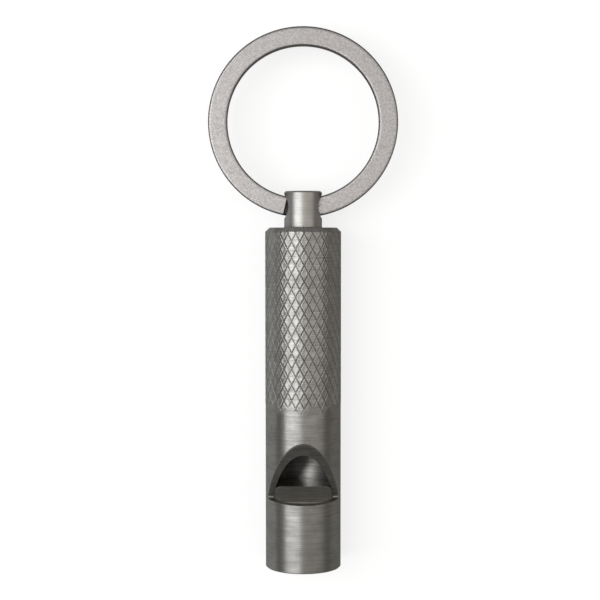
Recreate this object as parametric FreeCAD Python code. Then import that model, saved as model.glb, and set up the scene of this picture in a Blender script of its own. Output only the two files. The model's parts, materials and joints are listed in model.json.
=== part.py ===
import FreeCAD, Part
import math
import os

# Keychain whistle in millimetres: a turned titanium tube, its windway plug and a flat split ring
# It lies on its side: the barrel runs along Y, blown from -Y, with the ring at +Y and the window up
# Places along the barrel are measured from the mouth end, and angles round it from the top line

# Turned body
body_length = 50.0
barrel_diameter = 10.0
barrel_wall = 0.7
neck_diameter = 5.0
neck_length = 4.8
shoulder_chamfer = 0.55
neck_chamfer = 0.2
mouth_chamfer = 0.15

# Bore, drilled from the mouth end
head_thickness = 2.6
drill_point_angle = 118.0

# Window: an upright face towards the mouth and a long ramp that runs out at the top line
window_face = 9.05
window_length = 7.95
window_ramp_angle = 23.6
window_root_radius = 0.35

# Windway plug, pressed into the bore: its top is cut flat and leaves the windway over it
windway_depth = 0.95
plug_overrun = 2.05
plug_chamfer = 0.35
plug_fit = 0.01

# Diamond knurl: two hands of shallow V grooves, which fade out over the plain band by the window
knurl_length_pitch = 2.05
knurl_width_pitch = 1.12
knurl_groove_depth = 0.13
knurl_groove_half_width = 0.125
knurl_rise = 0.03
knurl_fade_rows = 3
knurl_first_angle = -4.3
knurl_end_land = 0.03
plain_band = 4.0

# Flat split ring: two turns of flat wire, one on the other, with the crossover in the neck's eye
ring_diameter = 25.0
ring_band_width = 2.5
ring_wire_thickness = 0.73
ring_turn_gap = 0.04
ring_edge_break = 0.18
ring_crossover_length = 4.3
ring_end_gap = 0.25
ring_crossover_sections = 7

# Eye through the neck: the ring's band turns freely in it
eye_play = 0.05
eye_wall = 0.5

# What follows from the sizes above
barrel_radius = barrel_diameter / 2
bore_radius = barrel_radius - barrel_wall
neck_radius = neck_diameter / 2
barrel_length = body_length - neck_length
crest_radius = barrel_radius + knurl_rise
knurl_top = barrel_length - shoulder_chamfer
knurl_end = window_face + window_length + plain_band
window_slope = math.tan(math.radians(window_ramp_angle))
window_root_height = barrel_radius - window_length * window_slope
plug_length = window_face + plug_overrun
ring_centreline = ring_diameter / 2 - ring_band_width / 2
ring_half_height = ring_wire_thickness + ring_turn_gap / 2


def ring_sagitta():
    """How far the ring's centreline bows over the neck's thickness."""
    return ring_centreline - math.sqrt(ring_centreline ** 2 - neck_radius ** 2)


def band_reach():
    """Greatest distance of the band's section from the eye's axis, inside the neck."""
    across = ring_band_width / 2 + ring_sagitta() / 2
    up = ring_half_height
    return max(math.hypot(across, up - ring_edge_break), math.hypot(across - ring_edge_break, up))


eye_radius = band_reach() + eye_play
eye_place = body_length - eye_wall - eye_radius
ring_place = eye_place + ring_centreline - ring_sagitta() / 2
overall_length = ring_place + ring_diameter / 2
axis_height = crest_radius


def point(radius, angle, place):
    """Point at a radius from the barrel's axis, at an angle in degrees from the top line."""
    turn = math.radians(angle)
    return FreeCAD.Vector(
        radius * math.sin(turn),
        place - overall_length / 2,
        axis_height + radius * math.cos(turn),
    )


AXIS_POINT = FreeCAD.Vector(0, 0, axis_height)
ALONG = FreeCAD.Vector(0, 1, 0)
ACROSS = FreeCAD.Vector(1, 0, 0)
UP = FreeCAD.Vector(0, 0, 1)


def turned(outline):
    """Solid turned about the barrel's axis from (place, radius) pairs."""
    corners = [point(radius, 0, place) for place, radius in outline]
    face = Part.Face(Part.makePolygon(corners + corners[:1]))
    return face.revolve(AXIS_POINT, ALONG, 360)


def lower_barrel():
    """Plain barrel from the mouth end to the knurl, with its rim broken."""
    return turned([
        (0, 0),
        (0, barrel_radius - mouth_chamfer),
        (mouth_chamfer, barrel_radius),
        (knurl_end, barrel_radius),
        (knurl_end, 0),
    ])


def head_and_neck():
    """Chamfered shoulder over the knurl, and the neck that carries the ring."""
    chamfer_foot = crest_radius - knurl_groove_depth - knurl_end_land
    return turned([
        (knurl_top, 0),
        (knurl_top, chamfer_foot),
        (barrel_length, barrel_radius - shoulder_chamfer),
        (barrel_length, neck_radius),
        (body_length - neck_chamfer, neck_radius),
        (body_length, neck_radius - neck_chamfer),
        (body_length, 0),
    ])


# The knurl's grooves cross on a lattice of rows, each row half a diamond further down and round
knurl_length = knurl_top - knurl_end
knurl_rows = round(knurl_length / (knurl_length_pitch / 2))
knurl_row_step = knurl_length / knurl_rows
knurl_columns = round(math.pi * barrel_diameter / knurl_width_pitch)
knurl_column_angle = 360 / knurl_columns
knurl_lean = math.atan2(math.pi * barrel_diameter / knurl_columns / 2, knurl_row_step)


def groove_share(row):
    """Share of the full groove depth at a row: all of it, fading to none at the last row."""
    return min(1.0, (knurl_rows - row) / knurl_fade_rows)


def crossing(row, angle):
    """Bottom of the grooves where they cross."""
    depth = knurl_groove_depth * groove_share(row)
    return point(crest_radius - depth, angle, knurl_top - row * knurl_row_step)


def pad_side(row, angle, side):
    """Side corner of a diamond's flat top, half a groove's width in from the crossing beside it."""
    inset = knurl_groove_half_width * groove_share(row) / math.cos(knurl_lean)
    inset_angle = math.degrees(inset / crest_radius)
    reach = knurl_column_angle / 2 - inset_angle
    return point(crest_radius, angle + side * reach, knurl_top - row * knurl_row_step)


def pad_tip(row, angle, step):
    """Tip of a diamond's flat top towards the next row, placed so that its bevels are flat."""
    tip_row = row + step
    deep = crossing(tip_row, angle)
    beside = crossing(row, angle + knurl_column_angle / 2)
    corner = pad_side(row, angle, 1)
    crest = point(crest_radius, angle, knurl_top - tip_row * knurl_row_step)
    if groove_share(row) == 0:
        inset = knurl_groove_half_width * groove_share(tip_row) / math.sin(knurl_lean)
        return crest + ALONG * inset * step
    normal = (beside - deep).cross(corner - deep)
    return crest - ALONG * (normal.dot(crest - deep) / normal.y)


def flat(*corners):
    """Flat face through its corners, without those that fall together."""
    kept = []
    for corner in corners:
        if all(corner.distanceToPoint(other) > 1e-6 for other in kept):
            kept.append(corner)
    return Part.Face(Part.makePolygon(kept + kept[:1]))


def half_diamond(row, angle, step):
    """Half of a raised diamond, from its widest row towards the row above or below."""
    tip = pad_tip(row, angle, step)
    middle = point(crest_radius, angle, knurl_top - row * knurl_row_step)
    deep = crossing(row + step, angle)
    faces = []
    for side in (-1, 1):
        corner = pad_side(row, angle, side)
        beside = crossing(row, angle + side * knurl_column_angle / 2)
        faces.append(flat(middle, corner, tip))
        faces.append(flat(corner, beside, deep, tip))
    return faces


def whole_diamond(row, angle):
    """Raised diamond: a top folded along its length, with a bevel down to each groove."""
    tips = {step: pad_tip(row, angle, step) for step in (-1, 1)}
    faces = []
    for side in (-1, 1):
        corner = pad_side(row, angle, side)
        beside = crossing(row, angle + side * knurl_column_angle / 2)
        faces.append(flat(tips[-1], corner, tips[1]))
        for step in (-1, 1):
            faces.append(flat(corner, beside, crossing(row + step, angle), tips[step]))
    return faces


def row_angles(row):
    """Angles of the diamonds that are widest at a row."""
    shift = 0.5 if row % 2 else 0.0
    return [knurl_first_angle + (column + shift) * knurl_column_angle for column in range(knurl_columns)]


def knurl_end_face(row):
    """Flat end of the knurled length, cut across the widest diamonds."""
    rim = []
    for angle in row_angles(row):
        rim.append(crossing(row, angle - knurl_column_angle / 2))
        rim.append(pad_side(row, angle, -1))
        rim.append(point(crest_radius, angle, knurl_top - row * knurl_row_step))
        rim.append(pad_side(row, angle, 1))
    return flat(*rim)


def knurled_length():
    """Knurled middle of the barrel as one solid, diamond by diamond."""
    faces = [knurl_end_face(0), knurl_end_face(knurl_rows)]
    for angle in row_angles(0):
        faces += half_diamond(0, angle, 1)
    for row in range(1, knurl_rows):
        for angle in row_angles(row):
            faces += whole_diamond(row, angle)
    for angle in row_angles(knurl_rows):
        faces += half_diamond(knurl_rows, angle, -1)
    skin = Part.makeShell(faces)
    skin.sewShape()
    return Part.makeSolid(skin)


def bore():
    """Drilled bore with the drill's cone at its end."""
    tip = barrel_length - head_thickness
    cone = bore_radius / math.tan(math.radians(drill_point_angle / 2))
    return turned([
        (-1, 0),
        (-1, bore_radius),
        (tip - cone, bore_radius),
        (tip, 0),
    ])


def window_cut():
    """Cutter of the window, right across the barrel, with a rounded root."""
    top = barrel_radius + 1
    outline = [
        (window_face, window_root_height),
        (window_face, top),
        (window_face + (top - window_root_height) / window_slope, top),
    ]
    shift = ACROSS * (barrel_radius + 1)
    corners = [point(height, 0, place) - shift for place, height in outline]
    cutter = Part.Face(Part.makePolygon(corners + corners[:1])).extrude(shift * 2)
    root = point(window_root_height, 0, window_face)
    edges = [edge for edge in cutter.Edges if edge.distToShape(Part.Vertex(root))[0] < 1e-6]
    return cutter.makeFillet(window_root_radius, edges)


def eye():
    """Round hole across the neck."""
    start = point(0, 0, eye_place) - ACROSS * neck_diameter
    return Part.makeCylinder(eye_radius, neck_diameter * 2, start, ACROSS)


def whistle_body():
    """Barrel and neck, turned from one bar."""
    middle = knurled_length()
    blank = lower_barrel().fuse([middle, head_and_neck()])
    return blank.cut([bore(), window_cut(), eye()])


def windway_plug():
    """Plug in the bore, flush with the mouth end, flat on top and cut by the window."""
    radius = bore_radius - plug_fit
    plug = turned([
        (0, 0),
        (0, radius),
        (plug_length - plug_chamfer, radius),
        (plug_length, radius - plug_chamfer),
        (plug_length, 0),
    ])
    over_windway = Part.makeBox(
        barrel_diameter,
        plug_length + 2,
        barrel_diameter,
        point(bore_radius - windway_depth, 0, -1) - ACROSS * barrel_radius,
    )
    return plug.cut([over_windway, window_cut()])


ring_centre = point(0, 0, ring_place)
ring_turn_height = (ring_wire_thickness + ring_turn_gap) / 2
crossover_half_angle = math.degrees(ring_crossover_length / 2 / ring_centreline)
end_gap_angle = math.degrees(ring_end_gap / ring_centreline)


def wire_section(angle, height):
    """Wire's section with its edges broken, at an angle from the eye and a height over the middle."""
    outward = FreeCAD.Rotation(UP, angle).multVec(FreeCAD.Vector(0, -1, 0))
    centre = ring_centre + outward * ring_centreline + UP * height
    half_width = ring_band_width / 2
    half_thick = ring_wire_thickness / 2
    corners = []
    for out, up in [(1, 1), (-1, 1), (-1, -1), (1, -1)]:
        side = centre + outward * out * half_width + UP * up * (half_thick - ring_edge_break)
        face = centre + outward * out * (half_width - ring_edge_break) + UP * up * half_thick
        corners += [side, face] if out == up else [face, side]
    return Part.makePolygon(corners + corners[:1])


def flat_turn(start, end, height):
    """Stretch of one flat turn between two angles from the eye."""
    return Part.Face(wire_section(start, height)).revolve(ring_centre, UP, end - start)


def crossover():
    """Stretch in the eye where the wire steps from the lower turn to the upper one."""
    sections = []
    for index in range(ring_crossover_sections):
        share = index / (ring_crossover_sections - 1)
        angle = crossover_half_angle * (2 * share - 1)
        sections.append(wire_section(angle, -ring_turn_height * math.cos(math.pi * share)))
    return Part.makeLoft(sections, True, True)


def split_ring():
    """Flat split ring: two turns of one wire that lie on each other."""
    start = crossover_half_angle
    end = 360 - crossover_half_angle
    lower = flat_turn(start + end_gap_angle, end, -ring_turn_height)
    upper = flat_turn(start, end - end_gap_angle, ring_turn_height)
    return lower.fuse([crossover(), upper])


def main():
    """Write each piece as its own solid."""
    os.makedirs("parts", exist_ok=True)
    pieces = {
        "whistle_body": whistle_body(),
        "windway_plug": windway_plug(),
        "split_ring": split_ring(),
    }
    for name, shape in pieces.items():
        shape.exportStep(os.path.join("parts", name + ".step"))
        box = shape.BoundBox
        print(
            name, shape.ShapeType, len(shape.Solids), "solids", len(shape.Faces), "faces",
            "valid" if shape.isValid() else "not valid", round(shape.Volume, 2), "mm3",
            [round(v, 3) for v in (box.XMin, box.YMin, box.ZMin, box.XMax, box.YMax, box.ZMax)],
        )
    print("eye radius", round(eye_radius, 3), "at", round(eye_place - overall_length / 2, 3))
    print("overall length", round(overall_length, 3), "rows", knurl_rows, "columns", knurl_columns)


main()
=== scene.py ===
"""Keychain whistle in metal: a barrel with a diamond knurl, its windway plug and a flat split ring.

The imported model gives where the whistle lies, its length and the ring's outside size. Lengths are
in metres, places along the barrel are measured from the mouth end, and angles round it from the top
line towards +X.
"""
import json
import logging
import math
from dataclasses import dataclass, replace
from enum import Enum, IntEnum

import bmesh
import bpy
from mathutils import Matrix, Vector
from mathutils.geometry import delaunay_2d_cdt
from mathutils.kdtree import KDTree

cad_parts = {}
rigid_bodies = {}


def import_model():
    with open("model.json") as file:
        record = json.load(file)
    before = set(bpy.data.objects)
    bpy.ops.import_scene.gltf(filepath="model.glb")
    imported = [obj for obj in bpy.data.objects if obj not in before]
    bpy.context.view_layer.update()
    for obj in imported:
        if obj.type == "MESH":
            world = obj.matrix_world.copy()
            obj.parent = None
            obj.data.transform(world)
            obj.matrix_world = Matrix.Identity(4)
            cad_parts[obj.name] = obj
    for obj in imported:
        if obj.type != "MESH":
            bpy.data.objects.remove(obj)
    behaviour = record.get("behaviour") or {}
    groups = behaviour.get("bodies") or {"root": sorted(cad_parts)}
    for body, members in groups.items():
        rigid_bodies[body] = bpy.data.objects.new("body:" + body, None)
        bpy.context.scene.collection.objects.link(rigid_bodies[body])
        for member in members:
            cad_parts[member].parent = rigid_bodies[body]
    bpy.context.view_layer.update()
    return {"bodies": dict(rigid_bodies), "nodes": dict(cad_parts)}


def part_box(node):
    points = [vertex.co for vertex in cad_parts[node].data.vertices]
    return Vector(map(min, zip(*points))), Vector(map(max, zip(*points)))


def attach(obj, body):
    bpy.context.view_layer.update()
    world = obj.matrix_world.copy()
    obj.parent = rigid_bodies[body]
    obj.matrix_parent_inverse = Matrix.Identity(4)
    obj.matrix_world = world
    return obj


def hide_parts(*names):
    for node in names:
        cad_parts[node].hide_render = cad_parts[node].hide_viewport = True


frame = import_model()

LOG = logging.getLogger("whistle")
MM = 0.001
DEGREE = math.pi / 180
TURN = 2 * math.pi
# Distances within which points are one: in space, along a cut, on unit tiles and on a flat wall
MERGE = 0.0005 * MM
CUT_MERGE = 1e-8
TILE_MERGE = 0.001
FLAT_MERGE = 1e-6
# The triangulation's choice that keeps what lies inside the outline
INSIDE = 1
# Angles above which an edge between two faces is shown sharp
CREASE = 20 * DEGREE
FINE_CREASE = 10 * DEGREE

# A noise is its scale, detail and roughness; an edge is a list of angles and places, or flat spots
Colour = tuple[float, float, float]
Noise = tuple[float, float, float]
Edge = list[tuple[float, float]]
Socket = bpy.types.NodeSocket


@dataclass(frozen=True)
class Datum:
    """Where the whistle lies in the frame: its mouth end and its axis."""

    mouth: float
    height: float

    def point(self, radius: float, angle: float, place: float) -> Vector:
        """Give the point at a radius, an angle from the top line and a place along the barrel."""
        return self.beside(radius * math.sin(angle), place, radius * math.cos(angle))

    def beside(self, across: float, place: float, rise: float) -> Vector:
        """Give the point at a distance across and above the axis, at a place along the barrel."""
        return Vector((across, self.mouth + place, self.height + rise))

    def ring(self, radius: float, place: float, angles: list[float]) -> list[Vector]:
        """Give the points of a round rim at the angles named."""
        return [self.point(radius, angle, place) for angle in angles]


class Graph:
    """Short way to write a node tree, for geometry and for materials alike."""

    def __init__(self, tree: bpy.types.NodeTree) -> None:
        """Start on the tree that the nodes go into."""
        self.tree = tree

    def feed(self, node: bpy.types.Node, feeds: dict) -> None:
        """Link or set a node's inputs.

        Args:
            node: The node that is fed.
            feeds: Input names or numbers, each with a socket to link or a value to set.
        """
        for key, value in feeds.items():
            if isinstance(value, Socket):
                self.tree.links.new(value, node.inputs[key])
            else:
                node.inputs[key].default_value = value

    def add(self, kind: str, feeds: dict | None = None, **settings: object) -> bpy.types.Node:
        """Add one node with its settings and what feeds it.

        Args:
            kind: The node's type name.
            feeds: What feeds its inputs.
            settings: Properties of the node, set before its inputs.

        Returns:
            The new node.
        """
        node = self.tree.nodes.new(kind)
        for name, value in settings.items():
            setattr(node, name, value)
        self.feed(node, feeds or {})
        return node

    def sum(self, operation: str, *terms: object, clamp: bool = False) -> Socket:
        """Add a Math node on sockets or numbers and give its result."""
        feeds = dict(enumerate(terms))
        return self.add("ShaderNodeMath", feeds, operation=operation, use_clamp=clamp).outputs[0]

    def product(self, first: object, second: object) -> Socket:
        """Multiply two numbers."""
        return self.sum("MULTIPLY", first, second)

    def blend(self, first: object, second: object, share: float) -> Socket:
        """Add two numbers by weight, the first with the share given."""
        return self.sum("ADD", self.product(first, share), self.product(second, 1 - share))

    def vector(self, x: object = 0.0, y: object = 0.0, z: object = 0.0) -> Socket:
        """Join three numbers into a vector."""
        return self.add("ShaderNodeCombineXYZ", {"X": x, "Y": y, "Z": z}).outputs[0]

    def vectors(self, operation: str, first: object, second: object) -> bpy.types.Node:
        """Add a Vector Math node on two vectors."""
        return self.add("ShaderNodeVectorMath", {0: first, 1: second}, operation=operation)

    def scaled(self, vector: object, scale: object) -> Socket:
        """Scale a vector or a colour."""
        feeds = {0: vector, "Scale": scale}
        return self.add("ShaderNodeVectorMath", feeds, operation="SCALE").outputs[0]

    def noise(self, vector: object, size: Noise) -> Socket:
        """Give a noise texture's value, for its scale, detail and roughness."""
        feeds = dict(zip(("Scale", "Detail", "Roughness"), size))
        return self.add("ShaderNodeTexNoise", {"Vector": vector, **feeds}).outputs["Fac"]

    def mix(self, share: object, first: Socket | Colour, second: Socket | Colour) -> Socket:
        """Mix two colours.

        Args:
            share: The second colour's share.
            first: A colour, or the socket that carries it.
            second: The other colour.

        Returns:
            The socket that carries the result.
        """
        ends = [end if isinstance(end, Socket) else (*end, 1) for end in (first, second)]
        feeds = {"Factor": share, 6: ends[0], 7: ends[1]}
        return self.add("ShaderNodeMix", feeds, data_type="RGBA").outputs[2]

    def ramp(self, value: object, low: object, high: object, to_low: float = 0.0,
             to_high: float = 1.0, shape: str = "LINEAR") -> Socket:
        """Map a range onto another and keep the result within it.

        Args:
            value: What is mapped.
            low: The value that gives to_low.
            high: The value that gives to_high.
            to_low: The result at the low end.
            to_high: The result at the high end.
            shape: The map's interpolation.

        Returns:
            The socket that carries the result.
        """
        feeds = {"Value": value, "From Min": low, "From Max": high, "To Min": to_low,
                 "To Max": to_high}
        return self.add("ShaderNodeMapRange", feeds, interpolation_type=shape,
                        clamp=True).outputs["Result"]


class Rule(Graph):
    """Geometry Nodes tree with named inputs, which turns a small mesh into a finished one."""

    SOCKETS = {
        int: "NodeSocketInt",
        float: "NodeSocketFloat",
        bpy.types.Material: "NodeSocketMaterial",
    }

    def __init__(self, name: str, inputs: dict[str, int | float | bpy.types.Material]) -> None:
        """Make the tree and its sockets.

        Args:
            name: The tree's name.
            inputs: Each input's name and value.
        """
        super().__init__(bpy.data.node_groups.new(name, "GeometryNodeTree"))
        self.values = inputs
        face = self.tree.interface
        face.new_socket(name="Geometry", in_out="INPUT", socket_type="NodeSocketGeometry")
        for label, value in inputs.items():
            face.new_socket(name=label, in_out="INPUT", socket_type=self.SOCKETS[type(value)])
        face.new_socket(name="Geometry", in_out="OUTPUT", socket_type="NodeSocketGeometry")
        self.given = self.add("NodeGroupInput").outputs

    def store(self, shape: Socket, name: str, value: object) -> Socket:
        """Store a number on each point of a shape."""
        feeds = {"Geometry": shape, "Name": name, "Value": value}
        return self.add("GeometryNodeStoreNamedAttribute", feeds, data_type="FLOAT").outputs[0]

    def stored(self, name: str) -> Socket:
        """Read a number that the points carry."""
        return self.add("GeometryNodeInputNamedAttribute", {"Name": name}).outputs["Attribute"]

    def merge(self, shape: Socket, distance: float) -> Socket:
        """Join the points that fall together."""
        feeds = {"Geometry": shape, "Distance": distance}
        return self.add("GeometryNodeMergeByDistance", feeds).outputs[0]

    def close(self, shape: Socket) -> None:
        """End the tree: no instance is left, and every face has its material.

        Args:
            shape: The finished shape.
        """
        real = self.add("GeometryNodeRealizeInstances", {"Geometry": shape}).outputs[0]
        dressed = self.add("GeometryNodeSetMaterial", {"Geometry": real,
                                                       "Material": self.given["Metal"]})
        self.add("NodeGroupOutput", {"Geometry": dressed.outputs[0]})

    def run(self, seed: bpy.types.Mesh) -> bpy.types.Mesh:
        """Run the tree on a mesh.

        Args:
            seed: The mesh that the tree starts from, which isn't kept.

        Returns:
            A plain mesh with no modifier behind it.
        """
        carrier = bpy.data.objects.new(self.tree.name, seed)
        bpy.context.scene.collection.objects.link(carrier)
        modifier = carrier.modifiers.new(self.tree.name, "NODES")
        modifier.node_group = self.tree
        for item in self.tree.interface.items_tree:
            if item.in_out == "INPUT" and item.name in self.values:
                modifier[item.identifier] = self.values[item.name]
        graph = bpy.context.evaluated_depsgraph_get()
        done = bpy.data.meshes.new_from_object(
            carrier.evaluated_get(graph), preserve_all_data_layers=True, depsgraph=graph)
        carrier.modifiers.remove(modifier)
        bpy.data.objects.remove(carrier)
        return done


class Skin:
    """Faces gathered into one closed skin, whose points are joined at the end."""

    def __init__(self) -> None:
        """Start with nothing."""
        self.mesh = bmesh.new()

    def face(self, corners: list[Vector], slot: int) -> None:
        """Add one face, without corners that fall together.

        Args:
            corners: The face's corners, in order.
            slot: The material slot of the face.
        """
        kept: list[Vector] = []
        for corner in corners:
            if all((corner - other).length > MERGE for other in kept):
                kept.append(corner)
        if len(kept) > 2:
            face = self.mesh.faces.new([self.mesh.verts.new(corner) for corner in kept])
            face.material_index = slot

    def strip(self, first: list[Vector], second: list[Vector], slot: int) -> None:
        """Add a closed band of faces between two rims of as many points."""
        for index in range(len(first)):
            self.face([first[index - 1], first[index], second[index], second[index - 1]], slot)

    def bands(self, rims: list[list[Vector]], slot: int) -> None:
        """Add closed bands through several rims in turn."""
        for first, second in zip(rims, rims[1:]):
            self.strip(first, second, slot)

    def stitch(self, first: list[Vector], second: list[Vector], height: float, slot: int) -> None:
        """Add a closed band of triangles between two round rims that may differ in their points.

        Args:
            first: One rim's points, in the order of their angles.
            second: The other rim's points, in the order of their angles.
            height: Height of the axis that both rims go round.
            slot: The material slot of the faces.
        """
        turns = [[math.atan2(spot.x, spot.z - height) for spot in rim] for rim in (first, second)]
        for angles in turns:
            angles.append(angles[0] + TURN)
        here, there = 0, 0
        while here < len(first) or there < len(second):
            ahead = there == len(second) or (
                here < len(first) and turns[0][here + 1] <= turns[1][there + 1])
            corners = [first[here % len(first)], second[there % len(second)]]
            here, there = (here + 1, there) if ahead else (here, there + 1)
            corners.insert(1, first[here % len(first)] if ahead else second[there % len(second)])
            self.face(corners, slot)

    def cap(self, rim: list[Vector], middle: Vector, slot: int) -> None:
        """Close a rim with a fan of faces to its middle."""
        for index in range(len(rim)):
            self.face([rim[index - 1], rim[index], middle], slot)

    def patch(self, points: list[Vector], triangles: list[tuple[int, ...]], slot: int) -> None:
        """Add faces that share their points.

        Args:
            points: The points.
            triangles: Each face's corners, by their number among the points.
            slot: The material slot of the faces.
        """
        corners = [self.mesh.verts.new(point) for point in points]
        for triangle in triangles:
            self.mesh.faces.new([corners[index] for index in triangle]).material_index = slot

    def take(self, mesh: bpy.types.Mesh, slot: int) -> None:
        """Add all the faces of a finished mesh, with their attributes.

        Args:
            mesh: The mesh, which isn't kept.
            slot: The material slot of the faces.
        """
        before = len(self.mesh.faces)
        self.mesh.from_mesh(mesh)
        self.mesh.faces.ensure_lookup_table()
        for index in range(before, len(self.mesh.faces)):
            self.mesh.faces[index].material_index = slot
        bpy.data.meshes.remove(mesh)

    def close(self, name: str, metals: list[bpy.types.Material],
              crease: float = CREASE) -> bpy.types.Object:
        """Join the faces into one skin and make its object.

        Args:
            name: The object's name.
            metals: The materials, in the order of the faces' slots.
            crease: The angle between two faces above which their edge is shown sharp.

        Returns:
            The object, at the origin.
        """
        bmesh.ops.remove_doubles(self.mesh, verts=self.mesh.verts, dist=MERGE)
        bmesh.ops.recalc_face_normals(self.mesh, faces=self.mesh.faces)
        torn = sum(1 for edge in self.mesh.edges if len(edge.link_faces) != 2)
        if torn:
            LOG.warning("%s has %d open or shared edges", name, torn)
        mesh = bpy.data.meshes.new(name)
        self.mesh.to_mesh(mesh)
        self.mesh.free()
        for metal in metals:
            mesh.materials.append(metal)
        mesh.shade_smooth()
        mesh.set_sharp_from_angle(angle=crease)
        return place_object(name, mesh)


def clear_start_up() -> None:
    """Remove the objects that a new file starts with."""
    kept = set(frame["nodes"].values()) | set(frame["bodies"].values())
    for thing in [thing for thing in bpy.data.objects if thing not in kept]:
        bpy.data.objects.remove(thing)


def place_object(name: str, mesh: bpy.types.Mesh) -> bpy.types.Object:
    """Make an object of a mesh, at the origin.

    Args:
        name: The object's name.
        mesh: Its mesh.

    Returns:
        The object, which is in the scene.
    """
    piece = bpy.data.objects.new(name, mesh)
    bpy.context.scene.collection.objects.link(piece)
    return piece


def triangles_of(piece: bpy.types.Object) -> int:
    """Count a piece's triangles."""
    return sum(len(face.vertices) - 2 for face in piece.data.polygons)


def new_material(name: str) -> tuple[bpy.types.Material, Graph, bpy.types.Node]:
    """Start a material.

    Args:
        name: The material's name.

    Returns:
        The material, its graph and its Principled BSDF.
    """
    material = bpy.data.materials.new(name)
    material.use_nodes = True
    graph = Graph(material.node_tree)
    return material, graph, graph.tree.nodes["Principled BSDF"]


def grey(level: float) -> tuple[float, float, float, float]:
    """Give a solid grey."""
    return (level, level, level, 1.0)


def even_angles(start: float, count: int) -> list[float]:
    """Give evenly spaced angles round a full turn."""
    return [start + TURN * index / count for index in range(count)]


def encloses(outline: Edge, spot: Vector) -> bool:
    """Tell whether a flat outline goes round a spot.

    Args:
        outline: The outline's corners, in order.
        spot: The spot.

    Returns:
        Whether the spot is inside.
    """
    inside = False
    for (x1, y1), (x2, y2) in zip(outline, outline[1:] + outline[:1]):
        if (y1 > spot.y) != (y2 > spot.y):
            inside ^= spot.x < x1 + (spot.y - y1) / (y2 - y1) * (x2 - x1)
    return inside


@dataclass(frozen=True)
class Unrolled:
    """Stretch of a round wall laid flat, with holes, which is filled with even triangles."""

    datum: Datum
    radius: float
    low: float
    high: float
    low_angles: list[float]
    high_angles: list[float]
    step: float
    clear: float = 0.6

    def flat(self, angle: float, place: float) -> tuple[float, float]:
        """Lay a spot of the wall flat, in millimetres."""
        return (angle * self.radius / MM, place / MM)

    def row_places(self) -> list[float]:
        """Give the places of the grid's rows between the two rims."""
        rows = max(2, round((self.high - self.low) / self.step))
        return [self.low + (self.high - self.low) * row / rows for row in range(1, rows)]

    def outline(self) -> Edge:
        """Lay the wall's edge flat.

        Returns:
            The low rim, the seam, the high rim backwards and the seam again.
        """
        start = self.low_angles[0]
        low = [self.flat(angle, self.low) for angle in self.low_angles + [start + TURN]]
        high = [self.flat(angle, self.high) for angle in self.high_angles + [start + TURN]]
        right = [self.flat(start + TURN, place) for place in self.row_places()]
        left = [self.flat(start, place) for place in self.row_places()]
        return low + right + high[::-1] + left[::-1]

    def inner_spots(self, rims: Edge) -> Edge:
        """Spread an even grid of spots inside the wall.

        Args:
            rims: The spots of every rim, which the grid keeps clear of.

        Returns:
            The grid's spots.
        """
        tree = KDTree(len(rims))
        for index, spot in enumerate(rims):
            tree.insert((*spot, 0), index)
        tree.balance()
        columns = round(TURN * self.radius / self.step)
        spots = []
        for place in self.row_places():
            for column in range(1, columns):
                spot = self.flat(self.low_angles[0] + TURN * column / columns, place)
                if tree.find((*spot, 0))[2] > self.clear * self.step / MM:
                    spots.append(spot)
        return spots

    def fill(self, skin: Skin, holes: list[Edge], slot: int) -> None:
        """Fill the wall round its holes and add it to a skin.

        Args:
            skin: The skin that takes the faces.
            holes: Each hole's edge, as angles and places.
            slot: The material slot of the faces.
        """
        loops = [self.outline()] + [[self.flat(*spot) for spot in hole] for hole in holes]
        spots: Edge = []
        edges: list[tuple[int, int]] = []
        for loop in loops:
            first = len(spots)
            spots += loop
            edges += [(first + index, first + (index + 1) % len(loop))
                      for index in range(len(loop))]
        spots += self.inner_spots(spots)
        found, _, faces, *_ = delaunay_2d_cdt([Vector(spot) for spot in spots], edges, [],
                                              INSIDE, FLAT_MERGE)
        kept = []
        for face in faces:
            middle = sum((found[index] for index in face), Vector((0, 0))) / len(face)
            if not any(encloses(loop, middle) for loop in loops[1:]):
                kept.append(tuple(face))
        used = sorted({index for face in kept for index in face})
        order = {index: count for count, index in enumerate(used)}
        points = [self.datum.point(self.radius, found[index].x * MM / self.radius,
                                   found[index].y * MM) for index in used]
        skin.patch(points, [tuple(order[index] for index in face) for face in kept], slot)


class Marks(Enum):
    """Which way a worked surface's marks run: their fineness along X, Y and Z."""

    TURNED = (0.045, 1.0, 0.045)
    MILLED = (0.06, 1.0, 1.0)
    TUMBLED = (1.0, 1.0, 1.0)


def shader_group(name: str, inputs: dict[str, str], outputs: list[str]) -> Graph:
    """Make an empty shader node group with number outputs.

    Args:
        name: The group's name.
        inputs: Each input's name and socket type.
        outputs: The outputs' names.

    Returns:
        The graph to fill in.
    """
    graph = Graph(bpy.data.node_groups.new(name, "ShaderNodeTree"))
    face = graph.tree.interface
    for label, kind in inputs.items():
        face.new_socket(name=label, in_out="INPUT", socket_type=kind)
    for label in outputs:
        face.new_socket(name=label, in_out="OUTPUT", socket_type="NodeSocketFloat")
    return graph


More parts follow.
